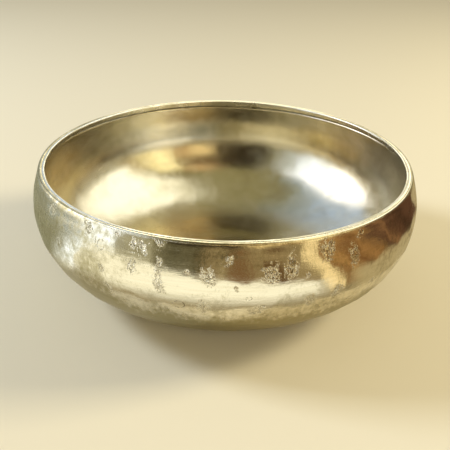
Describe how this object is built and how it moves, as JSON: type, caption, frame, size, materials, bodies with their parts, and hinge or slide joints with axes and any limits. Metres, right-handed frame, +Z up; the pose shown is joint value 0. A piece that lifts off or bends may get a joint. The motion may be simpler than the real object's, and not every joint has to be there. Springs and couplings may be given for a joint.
{
  "type": "hammered bowl",
  "caption": "Round-bellied hammered copper bowl with an open mouth, a thick wired rim, a smooth tinned inside and a flat base to stand on.",
  "frame": {"origin": "centre of the flat base, at the level the bowl stands on", "axes": "+Z up along the bowl's axis, out through the mouth; the bowl is round about it, so +X and +Y are any two square directions"},
  "size_m": [0.2, 0.2, 0.067],
  "materials": {
    "tinned_hammered_copper": "hammered and tinned, pale champagne silver with darker pits",
    "tinned_wire": "tinned, filed flat and rubbed bright",
    "tin_solder": "dull tin solder",
    "wiped_tin": "wiped tin, smooth with soft swirls"
  },
  "bodies": {
    "root": {"hammered_shell": "tinned_hammered_copper", "rim_wire": "tinned_wire", "rim_solder": "tin_solder", "tin_lining": "wiped_tin"}
  },
  "joints": []
}
